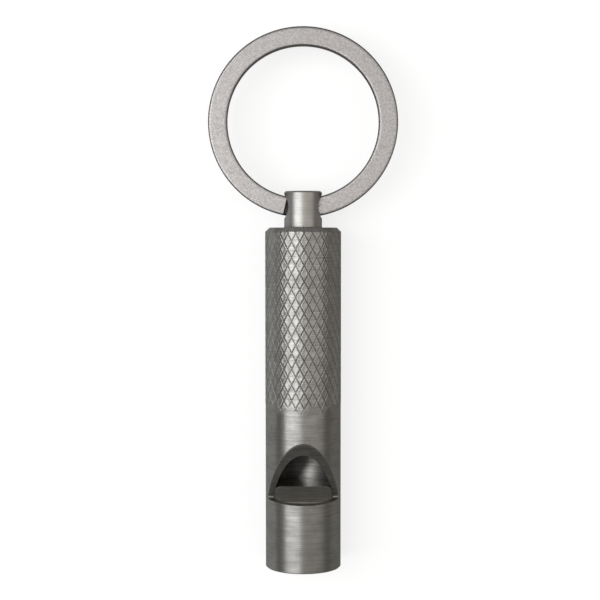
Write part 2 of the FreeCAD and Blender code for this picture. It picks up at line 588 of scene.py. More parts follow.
@dataclass(frozen=True)
class ToolMarks:
    """Lines of uneven depth and streaks of tone, each partly fine and partly broad."""

    fine: Noise = (0.75, 3.0, 0.6)
    broad: Noise = (0.16, 3.0, 0.6)
    fine_depth: float = 0.6
    fine_tone: float = 0.9
    darkest: float = 0.32
    lightest: float = 0.68

    def group(self) -> bpy.types.NodeTree:
        """Build the shader group.

        Returns:
            A group with outputs Height and Streak, both from nought to one.
        """
        graph = shader_group("tool_marks", {"Vector": "NodeSocketVector",
                                            "Fineness": "NodeSocketFloat"}, ["Height", "Streak"])
        given = graph.add("NodeGroupInput").outputs
        run = graph.scaled(given["Vector"], given["Fineness"])
        fine, broad = graph.noise(run, self.fine), graph.noise(run, self.broad)
        tone = graph.blend(fine, broad, self.fine_tone)
        graph.add("NodeGroupOutput", {
            "Height": graph.blend(fine, broad, self.fine_depth),
            "Streak": graph.ramp(tone, self.darkest, self.lightest),
        })
        return graph.tree


@dataclass(frozen=True)
class Patina:
    """Soft cloudy tone that handling leaves, with fine specks in it."""

    cloud: Noise = (1.0, 2.0, 0.5)
    cloud_ends: tuple[float, float] = (0.3, 0.7)
    speck: Noise = (6.0, 3.0, 0.7)
    speck_ends: tuple[float, float] = (0.56, 0.72)

    def group(self) -> bpy.types.NodeTree:
        """Build the shader group.

        Returns:
            A group with outputs Cloud and Speck, both from nought to one.
        """
        graph = shader_group("patina", {"Vector": "NodeSocketVector", "Size": "NodeSocketFloat"},
                             ["Cloud", "Speck"])
        given = graph.add("NodeGroupInput").outputs
        size = graph.vector(*[given["Size"]] * 3)
        spot = graph.vectors("DIVIDE", given["Vector"], size).outputs[0]
        graph.add("NodeGroupOutput", {
            "Cloud": graph.ramp(graph.noise(spot, self.cloud), *self.cloud_ends),
            "Speck": graph.ramp(graph.noise(spot, self.speck), *self.speck_ends),
        })
        return graph.tree


@dataclass(frozen=True)
class PaintedSideShade:
    """Painted shade: the colour is darkened on one side and fades out along a direction, between
    two distances from the origin.
    """

    direction: tuple[float, float, float]
    start: float
    end: float
    light: float


@dataclass(frozen=True)
class MetalFinish:
    """Worked metal: its light and dark tones, its gloss, the marks of the tool and any painted
    shade.
    """

    name: str
    light: Colour
    dark: Colour
    roughness: float
    roughness_swing: float
    marks: Marks
    fineness: float
    depth: float
    speck: float
    streak_share: float = 0.65
    cloud_size: float = 1.6 * MM
    grain: float = 0.0
    grain_turn: float = 0.25
    edge_tone: float = 0.7
    # Painted shade: the attribute that marks where the colour is darkened, from its start value
    # down to the level at one.
    painted_shade_attribute: str = ""
    painted_shade_start: float = 0.1
    painted_shade_level: float = 1.0
    painted_side_shade: PaintedSideShade | None = None
    runs_into: "MetalFinish | None" = None

    def gloss(self, graph: Graph, tone: Socket) -> Socket:
        """Make the dark tone rougher than the light one."""
        return graph.ramp(tone, 0.0, 1.0, self.roughness + self.roughness_swing,
                          self.roughness - self.roughness_swing)

    def shade(self, graph: Graph, tone: Socket, here: Socket) -> tuple[Socket, Socket]:
        """Add the nodes for the colour and the roughness.

        Args:
            graph: The material's graph.
            tone: How light the metal is, from nought to one.
            here: Object coordinates.

        Returns:
            The colour and the roughness.
        """
        colour, rough = graph.mix(tone, self.dark, self.light), self.gloss(graph, tone)
        if self.runs_into:
            plain = self.runs_into
            kept = graph.add("ShaderNodeAttribute", attribute_name="rolled").outputs["Fac"]
            colour = graph.mix(kept, graph.mix(tone, plain.dark, plain.light), colour)
            smooth = plain.gloss(graph, tone)
            rough = graph.sum("MULTIPLY_ADD", kept, graph.sum("SUBTRACT", rough, smooth), smooth)
        # Painted shade: the colour is darkened where the named attribute marks a groove or a step,
        # where shade falls.
        if self.painted_shade_attribute:
            sunk = graph.add("ShaderNodeAttribute", attribute_name=self.painted_shade_attribute).outputs["Fac"]
            colour = graph.scaled(colour, graph.ramp(sunk, self.painted_shade_start, 1.0, 1.0,
                                                     self.painted_shade_level))
        # Painted shade: the colour is darkened on one side, where the wall lies in shade, fading
        # out along the direction given.
        if self.painted_side_shade:
            reach = graph.vectors("DOT_PRODUCT", here, self.painted_side_shade.direction).outputs["Value"]
            colour = graph.scaled(colour, graph.ramp(reach, self.painted_side_shade.start, self.painted_side_shade.end,
                                                     self.painted_side_shade.light, 1.0, "SMOOTHSTEP"))
        return colour, rough

    def build(self, tool_marks: bpy.types.NodeTree,
              patina: bpy.types.NodeTree) -> bpy.types.Material:
        """Make the material.

        Args:
            tool_marks: The node group of tool marks.
            patina: The node group of cloudy tone.

        Returns:
            The finished material.
        """
        metal, graph, shader = new_material(self.name)
        here = graph.add("ShaderNodeTexCoord").outputs["Object"]
        run = graph.vectors("MULTIPLY", here, self.marks.value).outputs[0]
        lines = graph.add("ShaderNodeGroup", {"Vector": run, "Fineness": self.fineness / MM},
                          node_tree=tool_marks).outputs
        skin = graph.add("ShaderNodeGroup", {"Vector": here, "Size": self.cloud_size},
                         node_tree=patina).outputs
        tone = graph.sum("SUBTRACT", graph.blend(lines["Streak"], skin["Cloud"], self.streak_share),
                         graph.product(skin["Speck"], self.speck), clamp=True)
        colour, rough = self.shade(graph, tone, here)
        bump = graph.add("ShaderNodeBump", {"Strength": 1.0, "Distance": self.depth,
                                            "Height": lines["Height"]})
        graph.feed(shader, {"Metallic": 1.0, "Specular Tint": grey(self.edge_tone),
                            "Base Color": colour, "Roughness": rough, "Normal": bump.outputs[0]})
        if self.grain:
            tangent = graph.add("ShaderNodeTangent", direction_type="RADIAL", axis="Y").outputs[0]
            graph.feed(shader, {"Anisotropic": self.grain, "Tangent": tangent,
                                "Anisotropic Rotation": self.grain_turn})
        return metal


class Area(IntEnum):
    """Parts of the body that were finished in their own way, in the order of its material slots."""

    BARREL = 0
    KNURL = 1
    NECK = 2
    WINDOW = 3
    BORE = 4


BARREL_FINISH = MetalFinish(
    name="turned_barrel", light=(0.304, 0.30, 0.286), dark=(0.19, 0.187, 0.18), roughness=0.37,
    roughness_swing=0.08, marks=Marks.TURNED, fineness=8.0, depth=0.008 * MM, speck=0.2, grain=0.4)
BODY_FINISHES = {
    Area.BARREL: BARREL_FINISH,
    Area.KNURL: MetalFinish(
        name="rolled_knurl", light=(0.395, 0.39, 0.375), dark=(0.235, 0.231, 0.22), roughness=0.41,
        roughness_swing=0.06, marks=Marks.TURNED, fineness=8.0, depth=0.006 * MM, speck=0.4,
        # painted shade: the knurl's grooves are darkened in colour
        grain=0.4, painted_shade_attribute="groove", painted_shade_level=0.66, runs_into=BARREL_FINISH),
    Area.NECK: MetalFinish(
        name="turned_neck", light=(0.40, 0.394, 0.379), dark=(0.298, 0.292, 0.28), roughness=0.42,
        roughness_swing=0.06, marks=Marks.TURNED, fineness=8.0, depth=0.003 * MM, speck=0.1,
        grain=0.2),
    Area.WINDOW: MetalFinish(
        name="milled_window", light=(0.272, 0.26, 0.239), dark=(0.108, 0.104, 0.093),
        roughness=0.42, roughness_swing=0.05, marks=Marks.MILLED, fineness=7.0, depth=0.003 * MM,
        speck=0.2),
    Area.BORE: MetalFinish(
        name="bored_wall", light=(0.47, 0.465, 0.446), dark=(0.24, 0.235, 0.222), roughness=0.46,
        roughness_swing=0.08, marks=Marks.TURNED, fineness=6.0, depth=0.006 * MM, speck=0.3,
        # painted shade: the bore's wall is darkened towards -X, the side that lies in shade
        painted_side_shade=PaintedSideShade(direction=(1.5, -0.8, 0.0), start=18.3 * MM, end=21.1 * MM, light=0.12)),
}
RING_FINISH = MetalFinish(
    name="tumbled_ring", light=(0.487, 0.471, 0.468), dark=(0.272, 0.262, 0.262), roughness=0.44,
    roughness_swing=0.07, marks=Marks.TUMBLED, fineness=7.0, depth=0.010 * MM, speck=0.5,
    # painted shade: the colour is darkened in the step between the ring's turns
    cloud_size=0.24 * MM, painted_shade_attribute="grime", painted_shade_level=0.12)


@dataclass(frozen=True)
class DiamondKnurl:
    """Rolled diamond knurl: two hands of shallow grooves that leave pads with raised rims."""

    datum: Datum
    top: float
    fade_place: float
    barrel_radius: float
    rise: float = 0.03 * MM
    depth: float = 0.075 * MM
    row_step: float = 1.035 * MM
    first_line: float = 0.21 * MM
    width_pitch: float = 1.12 * MM
    groove_root: float = 0.02 * MM
    groove_wall: float = 0.09 * MM
    groove_rim: float = 0.17 * MM
    rim_share: float = 0.15
    hollow: float = 0.026 * MM
    hollow_ends: tuple[float, float] = (0.3, 0.7)
    folded_cells: int = 3
    wear: float = 0.014 * MM
    wear_size: float = 0.7 * MM
    wear_noise: Noise = (1.0, 1.0, 0.5)
    wear_ends: tuple[float, float] = (0.4, 0.75)
    first_angle: float = 1.83 * DEGREE
    fade_length: float = 1.6 * MM
    fade_sway: float = 1.1 * MM
    fade_noise: Noise = (3.2, 1.0, 0.5)
    fade_ends: tuple[float, float] = (0.42, 0.62)
    under_ends: tuple[float, float] = (0.78, 0.62)
    crowding: float = 0.8
    seed: float = 7.0

    @property
    def crest(self) -> float:
        """Radius over the pads."""
        return self.barrel_radius + self.rise

    @property
    def first_place(self) -> float:
        """Place of the row line above the shoulder's chamfer, where the pattern is cut off."""
        return self.top - self.first_line + self.row_step

    @property
    def rows(self) -> int:
        """Number of half diamonds along the knurl, the cut one and the faded one with them."""
        return math.ceil((self.first_place - self.fade_place) / self.row_step)

    @property
    def end(self) -> float:
        """Place where the plain barrel begins."""
        return self.first_place - self.rows * self.row_step

    @property
    def columns(self) -> int:
        """Number of diamonds round the barrel."""
        return round(TURN * self.barrel_radius / self.width_pitch)

    @property
    def column_angle(self) -> float:
        """Angle between diamonds round the barrel."""
        return TURN / self.columns

    def lines(self) -> list[tuple[float, float, float]]:
        """Give the lines across a diamond, from one groove to the next.

        Returns:
            Each line's share of the way, of the groove's depth and of the pad's hollow.
        """
        half_width = self.column_angle * self.crest / 2
        spacing = 2 * half_width * self.row_step / math.hypot(half_width, self.row_step)
        rim = self.groove_rim / spacing
        near = [(0.0, 1.0, 0.0), (self.groove_root / spacing, 1.0, 0.0),
                (self.groove_wall / spacing, self.rim_share, 0.0), (rim, 0.0, 0.0)]
        pad = [(rim + (1 - 2 * rim) * share, 0.0, 1.0) for share in self.hollow_ends]
        far = [(1 - way, sunk, hollow) for way, sunk, hollow in reversed(near)]
        return near + pad + far

    def half_diamond(self) -> bpy.types.Mesh:
        """Make half a diamond with its tip down.

        Returns:
            A flat mesh, one column wide and one row high.
        """
        lines = self.lines()
        cells = len(lines) - 1
        tile = bmesh.new()
        groove = tile.verts.layers.float.new("groove")
        middle = tile.verts.layers.float.new("middle")
        corners = {}
        for i, (p, sunk_p, hollow_p) in enumerate(lines):
            for j, (q, sunk_q, hollow_q) in enumerate(lines[:cells + 1 - i]):
                corner = tile.verts.new(((p - q) / 2, p + q - 1, 0))
                corner[groove] = max(sunk_p, sunk_q)
                corner[middle] = hollow_p * hollow_q
                corners[i, j] = corner
        for i in range(cells):
            for j in range(cells - i):
                here, right, left = corners[i, j], corners[i + 1, j], corners[i, j + 1]
                if i + j + 1 == cells:
                    tile.faces.new((here, right, left))
                    continue
                across = corners[i + 1, j + 1]
                if i == j and i < self.folded_cells:
                    tile.faces.new((here, right, across))
                    tile.faces.new((here, across, left))
                else:
                    tile.faces.new((here, right, across, left))
        mesh = bpy.data.meshes.new("half_diamond")
        tile.to_mesh(mesh)
        tile.free()
        return mesh

    def end_angles(self) -> list[float]:
        """Find where the last row's points lie round the barrel.

        Returns:
            Their angles, in order.
        """
        shift = 0.5 if self.rows % 2 else 0.0
        ways = [way for way, _, _ in self.lines()[:-1]]
        start = shift - 0.5 - self.columns // 2
        return [self.first_angle + (start + column + way) * self.column_angle
                for column in range(self.columns) for way in ways]

    def cut_top(self, mesh: bpy.types.Mesh) -> list[Vector]:
        """Cut the pattern square across where the shoulder's chamfer begins.

        Args:
            mesh: The knurled band, which is cut in place.

        Returns:
            The cut rim's points, in the order of their angles.
        """
        band = bmesh.new()
        band.from_mesh(mesh)
        plane = self.datum.beside(0, self.top, 0)
        bmesh.ops.bisect_plane(band, geom=band.verts[:] + band.edges[:] + band.faces[:],
                               dist=CUT_MERGE, plane_co=plane, plane_no=(0, 1, 0),
                               clear_outer=True)
        bmesh.ops.remove_doubles(band, verts=band.verts, dist=MERGE)
        rim = [corner.co.copy() for corner in band.verts
               if corner.is_boundary and abs(corner.co.y - plane.y) < MERGE]
        band.to_mesh(mesh)
        band.free()
        return sorted(rim, key=lambda spot: math.atan2(spot.x, spot.z - self.datum.height))

    def build(self, metal: bpy.types.Material) -> bpy.types.Mesh:
        """Repeat the half diamond over the barrel and wrap it round.

        Args:
            metal: The knurl's material.

        Returns:
            The knurled band, open at both ends.
        """
        rule = Rule("diamond_knurl", {
            "Columns": self.columns,
            "Rows": self.rows,
            "Column Angle": self.column_angle,
            "First Angle": self.first_angle,
            "Row Step": self.row_step,
            "First Y": self.datum.mouth + self.first_place,
            "Fade Y": self.datum.mouth + self.fade_place,
            "Axis Height": self.datum.height,
            "Barrel Radius": self.barrel_radius,
            "Rise": self.rise,
            "Depth": self.depth,
            "Hollow": self.hollow,
            "Wear": self.wear,
            "Wear Size": self.wear_size,
            "Fade Length": self.fade_length,
            "Fade Sway": self.fade_sway,
            "Seed": self.seed,
            "Metal": metal,
        })
        sheet = rule.merge(self.tiled(rule), TILE_MERGE)
        given = rule.given
        position = rule.add("GeometryNodeInputPosition").outputs[0]
        place = rule.add("ShaderNodeSeparateXYZ", {0: position}).outputs
        angle = rule.sum("MULTIPLY_ADD", place["X"], given["Column Angle"], given["First Angle"])
        along = rule.sum("MULTIPLY_ADD", place["Y"], given["Row Step"], given["First Y"])
        side, up = rule.sum("SINE", angle), rule.sum("COSINE", angle)
        share = self.kept_share(rule, side, up, along)
        around = rule.vector(rule.product(side, given["Barrel Radius"]), along,
                             rule.product(up, given["Barrel Radius"]))
        dents = rule.noise(rule.scaled(around, rule.sum("DIVIDE", 1.0, given["Wear Size"])),
                           self.wear_noise)
        worn = rule.product(rule.ramp(dents, *self.wear_ends), given["Wear"])
        groove, middle = rule.stored("groove"), rule.stored("middle")
        sunk = rule.sum("MULTIPLY_ADD", groove, given["Depth"],
                        rule.sum("MULTIPLY_ADD", middle, given["Hollow"], worn))
        over = rule.product(rule.sum("SUBTRACT", given["Rise"], sunk), share)
        sheet = rule.store(sheet, "rolled", share)
        # The stored groove share also drives the knurl material's painted shade in the grooves.
        sheet = rule.store(sheet, "groove", rule.product(groove, share))
        radius = rule.sum("ADD", given["Barrel Radius"], over)
        wrapped = rule.vector(rule.product(side, radius), along,
                              rule.sum("MULTIPLY_ADD", up, radius, given["Axis Height"]))
        moved = rule.add("GeometryNodeSetPosition", {"Geometry": sheet, "Position": wrapped})
        rule.close(rule.merge(moved.outputs[0], MERGE))
        return rule.run(self.half_diamond())

    @staticmethod
    def tiled(rule: Rule) -> Socket:
        """Add the nodes that repeat the half diamond in rows, with every other row shifted.

        Args:
            rule: The knurl's tree.

        Returns:
            The flat sheet of tiles, one column wide and one row high each.
        """
        given = rule.given
        index = rule.add("GeometryNodeInputIndex").outputs[0]
        column = rule.sum("FLOORED_MODULO", index, given["Columns"])
        row = rule.sum("FLOOR", rule.sum("DIVIDE", index, given["Columns"]))
        halves = []
        for step, turn in ((0.0, 0.0), (1.0, math.pi)):
            at_row = rule.sum("ADD", row, step)
            shift = rule.product(rule.sum("FLOORED_MODULO", at_row, 2.0), 0.5)
            spot = rule.vector(rule.sum("ADD", column, shift), rule.product(at_row, -1.0))
            points = rule.add("GeometryNodePoints", {
                "Count": rule.product(given["Columns"], given["Rows"]), "Position": spot})
            halves.append(rule.add("GeometryNodeInstanceOnPoints", {
                "Points": points.outputs[0], "Instance": given["Geometry"],
                "Rotation": (0, 0, turn)}).outputs[0])
        joined = rule.add("GeometryNodeJoinGeometry", {0: halves[0]})
        rule.feed(joined, {0: halves[1]})
        return rule.add("GeometryNodeRealizeInstances", {"Geometry": joined.outputs[0]}).outputs[0]

    def kept_share(self, rule: Rule, side: Socket, up: Socket, along: Socket) -> Socket:
        """Add the nodes for how much of the pattern is left where it runs out unevenly.

        Args:
            rule: The knurl's tree.
            side: Sine of the angle round the barrel.
            up: Cosine of the angle round the barrel.
            along: Place along the frame's Y axis.

        Returns:
            The share of the full depth, from nought to one.
        """
        given = rule.given
        uneven = rule.noise(rule.vector(side, up, given["Seed"]), self.fade_noise)
        patchy = rule.ramp(uneven, *self.fade_ends, shape="SMOOTHSTEP")
        under = rule.ramp(up, *self.under_ends, shape="SMOOTHSTEP")
        reach = rule.product(rule.sum("MAXIMUM", patchy, under), given["Fade Sway"])
        beyond = rule.sum("SUBTRACT", rule.sum("SUBTRACT", along, given["Fade Y"]), reach)
        length = rule.sum("SUBTRACT", given["Fade Length"], rule.product(reach, self.crowding))
        return rule.ramp(rule.sum("DIVIDE", beyond, length), 0.0, 1.0, shape="SMOOTHSTEP")


@dataclass
class WhistleBody:
    """Barrel and neck in one piece: knurled and bored, with a window and the ring's eye."""

    datum: Datum
    length: float
    barrel_radius: float = 5.0 * MM
    wall: float = 0.7 * MM
    neck_radius: float = 2.5 * MM
    neck_length: float = 4.8 * MM
    shoulder_chamfer: float = 0.55 * MM
    neck_chamfer: float = 0.2 * MM
    mouth_chamfer: float = 0.15 * MM
    broken_edge: float = 0.05 * MM
    head_thickness: float = 2.6 * MM
    drill_angle: float = 118 * DEGREE
    window_face: float = 9.05 * MM
    window_length: float = 7.95 * MM
    window_ramp: float = 23.6 * DEGREE
    window_draft: float = 6 * DEGREE
    window_root: float = 0.35 * MM
    plain_band: float = 3.4 * MM
    eye_radius: float = 1.553 * MM
    eye_wall: float = 0.5 * MM
    round_steps: int = 180
    neck_steps: int = 120
    eye_steps: int = 64
    face_steps: int = 24
    root_steps: int = 12
    ramp_steps: int = 40
    bore_rows: int = 8
    cone_rows: int = 6
    grid: float = 0.36 * MM
    bore_grid: float = 0.54 * MM
    neck_grid: float = 0.2 * MM

    def __post_init__(self) -> None:
        """Work out what follows from the sizes."""
        self.skin = Skin()
        self.bore_radius = self.barrel_radius - self.wall
        self.shoulder = self.length - self.neck_length
        self.eye_place = self.length - self.eye_wall - self.eye_radius
        self.knurl = DiamondKnurl(self.datum, self.shoulder - self.shoulder_chamfer,
                                  self.window_face + self.window_length + self.plain_band,
                                  self.barrel_radius)
        self.knurl_rim: list[Vector] = []

    def window_edge(self, radius: float, grow: float) -> Edge:
        """Give the window's edge on a round wall.

        Args:
            radius: The wall's radius.
            grow: How far the edge stands outside the cut.

        Returns:
            Angles and places: from the face's top down the right side, up the ramp, and back.
        """
        slope = math.tan(self.window_ramp)
        draft = math.tan(self.window_draft)
        root = self.barrel_radius - self.window_length * slope
        off_face = self.window_root / math.cos(self.window_draft)
        off_ramp = self.window_root / math.cos(self.window_ramp)
        centre_rise = root + off_ramp + slope * (off_face + draft * self.barrel_radius)
        centre_rise /= 1 + slope * draft
        centre_place = self.window_face + off_face + draft * (self.barrel_radius - centre_rise)
        round_radius = self.window_root + grow
        side = []
        foot = math.acos((centre_rise - round_radius * math.sin(self.window_draft)) / radius)
        for index in range(self.face_steps):
            angle = foot * index / self.face_steps
            place = self.window_face + draft * (self.barrel_radius - radius * math.cos(angle))
            side.append((angle, place - grow))
        sweep = math.pi / 2 + self.window_ramp - self.window_draft
        for index in range(self.root_steps + 1):
            way = math.pi + self.window_draft + sweep * index / self.root_steps
            rise = centre_rise + round_radius * math.sin(way)
            side.append((math.acos(rise / radius), centre_place + round_radius * math.cos(way)))
        foot, place = side[-1]
        for index in range(1, self.ramp_steps + 1):
            angle = foot * (1 - index / self.ramp_steps)
            side.append((angle, place + radius * (math.cos(angle) - math.cos(foot)) / slope))
        return side + [(-angle, spot) for angle, spot in side[-2:0:-1]]

    def edge_points(self, radius: float, edge: Edge) -> list[Vector]:
        """Place an edge of angles and places on a round wall."""
        return [self.datum.point(radius, angle, place) for angle, place in edge]

    def eye_edge(self, side: int, grow: float) -> Edge:
        """Give the eye's edge on the neck.

        Args:
            side: The neck's side, -1 or 1.
            grow: How far the edge stands outside the hole.

        Returns:
            Angles and places, once round.
        """
        radius = self.eye_radius + grow
        edge = []
        for way in even_angles(0, self.eye_steps):
            angle = math.acos(radius * math.sin(way) / self.neck_radius)
            edge.append((side * angle, self.eye_place + radius * math.cos(way)))
        return edge

    def eye_mouth(self, side: int) -> list[Vector]:
        """Give the rim of the eye's own wall, just inside its broken edge.

        Args:
            side: The neck's side, -1 or 1.

        Returns:
            The rim's points.
        """
        rim = []
        for way in even_angles(0, self.eye_steps):
            rise = self.eye_radius * math.sin(way)
            across = math.sqrt(self.neck_radius ** 2 - rise ** 2) - self.broken_edge
            place = self.eye_place + self.eye_radius * math.cos(way)
            rim.append(self.datum.beside(side * across, place, rise))
        return rim

    def turn(self, profile: Edge, angles: list[float], slot: int) -> list[list[Vector]]:
        """Add bands that are turned round the axis.

        Args:
            profile: Radii and places, in order.
            angles: The angles of the points of each rim.
            slot: The material slot of the faces.

        Returns:
            The bands' rims.
        """
        rims = [self.datum.ring(radius, place, angles) for radius, place in profile]
        self.skin.bands(rims, slot)
        return rims

    def make_window(self) -> None:
        """Add the window's walls from the barrel's outside to the bore, with broken edges."""
        edge = self.broken_edge
        steps = [(self.barrel_radius, edge), (self.barrel_radius - edge, 0),
                 (self.bore_radius + edge, 0), (self.bore_radius, edge)]
        self.skin.bands([self.edge_points(radius, self.window_edge(radius, grow))
                         for radius, grow in steps], Area.WINDOW)

    def make_barrel(self) -> None:
        """Add the plain barrel round the window, the mouth's rim and the bore."""
        high_angles = self.knurl.end_angles()
        angles = even_angles(high_angles[0], self.round_steps)
        edge = self.broken_edge
        outside = Unrolled(self.datum, self.barrel_radius, self.mouth_chamfer, self.knurl.end,
                           angles, high_angles, self.grid)
        outside.fill(self.skin, [self.window_edge(self.barrel_radius, edge)], Area.BARREL)
        self.turn([(self.barrel_radius, self.mouth_chamfer),
                   (self.barrel_radius - self.mouth_chamfer, 0),
                   (self.bore_radius + edge, 0), (self.bore_radius, edge)], angles, Area.BARREL)
        behind_window = self.window_face + self.window_length + self.plain_band / 2
        inside = Unrolled(self.datum, self.bore_radius, edge, behind_window, angles, angles,
                          self.bore_grid)
        inside.fill(self.skin, [self.window_edge(self.bore_radius, edge)], Area.BORE)
        tip = self.shoulder - self.head_thickness
        full = tip - self.bore_radius / math.tan(self.drill_angle / 2)
        bore = [(self.bore_radius, behind_window + (full - behind_window) * row / self.bore_rows)
                for row in range(self.bore_rows + 1)]
        cone = [(self.bore_radius * (1 - row / self.cone_rows),
                 full + (tip - full) * row / self.cone_rows) for row in range(1, self.cone_rows)]
        rims = self.turn(bore + cone, angles, Area.BORE)
        self.skin.cap(rims[-1], self.datum.beside(0, tip, 0), Area.BORE)

    def make_neck(self) -> None:
        """Add the chamfered shoulder, the neck with its eye and the neck's closed end."""
        angles = even_angles(-math.pi, self.round_steps)
        edge = self.broken_edge
        shoulder_radius = self.barrel_radius - self.shoulder_chamfer
        base = self.shoulder + 2 * edge
        rims = self.turn([(shoulder_radius + edge, self.shoulder - edge),
                          (shoulder_radius - edge, self.shoulder),
                          (self.neck_radius + 2 * edge, self.shoulder),
                          (self.neck_radius + edge / 2, self.shoulder + edge / 2),
                          (self.neck_radius, base)], angles, Area.NECK)
        self.skin.stitch(self.knurl_rim, rims[0], self.datum.height, Area.NECK)
        top_angles = even_angles(angles[0], self.neck_steps)
        top = self.length - self.neck_chamfer
        wall = Unrolled(self.datum, self.neck_radius, base, top, angles, top_angles,
                        self.neck_grid)
        sides = (-1, 1)
        holes = [self.eye_edge(side, edge) for side in sides]
        wall.fill(self.skin, holes, Area.NECK)
        for side, hole in zip(sides, holes):
            self.skin.strip(self.edge_points(self.neck_radius, hole), self.eye_mouth(side),
                            Area.NECK)
        self.skin.strip(*(self.eye_mouth(side) for side in sides), Area.BORE)
        inner = self.neck_radius - self.neck_chamfer
        rims = self.turn([(self.neck_radius, top), (inner, self.length), (inner / 2, self.length)],
                         top_angles, Area.NECK)
        self.skin.cap(rims[-1], self.datum.beside(0, self.length, 0), Area.NECK)

    def build(self, metals: dict[Area, bpy.types.Material]) -> bpy.types.Object:
        """Make the body.

        Args:
            metals: The material of each area.

        Returns:
            The finished object.
        """
        band = self.knurl.build(metals[Area.KNURL])
        self.knurl_rim = self.knurl.cut_top(band)
        self.skin.take(band, Area.KNURL)
        self.make_barrel()
        self.make_window()
        self.make_neck()
        return self.skin.close("turned_body", [metals[area] for area in Area], FINE_CREASE)


class PlugArea(IntEnum):
    """Parts of the plug that were finished in their own way, in the order of its material slots."""

    MILLED = 0
    FACED = 1
    TURNED = 2


PLUG_FINISHES = {
    PlugArea.MILLED: MetalFinish(
        name="milled_plug", light=(0.39, 0.376, 0.348), dark=(0.19, 0.185, 0.173), roughness=0.45,
        roughness_swing=0.05, marks=Marks.MILLED, fineness=7.0, depth=0.003 * MM, speck=0.2),
    PlugArea.FACED: MetalFinish(
        name="faced_plug", light=(0.72, 0.71, 0.70), dark=(0.64, 0.63, 0.62), roughness=0.12,
        roughness_swing=0.03, marks=Marks.MILLED, fineness=7.0, depth=0.0005 * MM, speck=0.1,
        edge_tone=1.0),
    PlugArea.TURNED: replace(BARREL_FINISH, name="turned_plug"),
}


@dataclass(frozen=True)
class Station:
    """Section of the plug: its place, the height of its flat over the axis and its radius."""

    place: float
    flat: float
    radius: float


@dataclass(frozen=True)
class WindwayPlug:
    """Round plug in the mouth end, with a flat for the air and the window's ramp cut across it."""

    datum: Datum
    radius: float = 4.29 * MM
    length: float = 11.1 * MM
    flat: float = 3.35 * MM
    chamfer: float = 0.3 * MM
    face: float = 9.05 * MM
    face_height: float = 5.0 * MM
    face_draft: float = math.tan(6 * DEGREE)
    ramp_height: float = 1.527 * MM
    ramp_slope: float = math.tan(23.6 * DEGREE)
    root: float = 0.05 * MM
    broken_edge: float = 0.02 * MM
    flat_steps: int = 8
    round_steps: int = 64

    def ramp(self, place: float) -> float:
        """Give the ramp's height over the axis at a place."""
        return self.ramp_height + self.ramp_slope * (place - self.face)

    def face_place(self, height: float) -> float:
        """Give the window face's place at a height over the axis."""
        return self.face + self.face_draft * (self.face_height - height)

    def stations(self) -> list[Station]:
        """List where the plug's section changes.

        Returns:
            The sections, from the mouth end to the inner end.
        """
        edge = self.broken_edge
        lower = self.length - self.chamfer
        top = self.face_place(self.flat)
        foot = self.face_place(self.ramp_height + self.root)
        return [
            Station(0, self.flat - edge, self.radius - edge),
            Station(edge, self.flat, self.radius),
            Station(top - edge, self.flat, self.radius),
            Station(top, self.flat - edge, self.radius),
            Station(foot, self.ramp(foot) + self.root, self.radius),
            Station(foot + self.root, self.ramp(foot + self.root), self.radius),
            Station(lower, self.ramp(lower), self.radius),
            Station(self.length - edge / 2, self.ramp(self.length - edge / 2),
                    self.radius - self.chamfer + edge / 2),
            Station(self.length, self.ramp(self.length - edge), self.radius - self.chamfer),
        ]

    def outline(self, station: Station) -> list[Vector]:
        """Give the rim of one section.

        Args:
            station: The section.

        Returns:
            The points of the flat from left to right, then those round under the axis.
        """
        edge = self.broken_edge
        corner = math.acos(station.flat / station.radius)
        half = station.radius * math.sin(corner) - edge
        flat = [self.datum.beside(half * (2 * index / self.flat_steps - 1), station.place,
                                  station.flat) for index in range(self.flat_steps + 1)]
        first = corner + edge / station.radius
        sweep = TURN - 2 * first
        return flat + [self.datum.point(station.radius, first + sweep * index / self.round_steps,
                                        station.place) for index in range(self.round_steps + 1)]

    def build(self, metals: dict[PlugArea, bpy.types.Material]) -> bpy.types.Object:
        """Make the plug.

        Args:
            metals: The material of each area.

        Returns:
            The finished object.
        """
        skin = Skin()
        rims = [self.outline(station) for station in self.stations()]
        skin.bands(rims, PlugArea.MILLED)
        skin.cap(rims[0], self.datum.beside(0, 0, 0), PlugArea.TURNED)
        skin.cap(rims[-1], self.datum.beside(0, self.length, 0), PlugArea.FACED)
        return skin.close("cut_plug", [metals[area] for area in PlugArea])


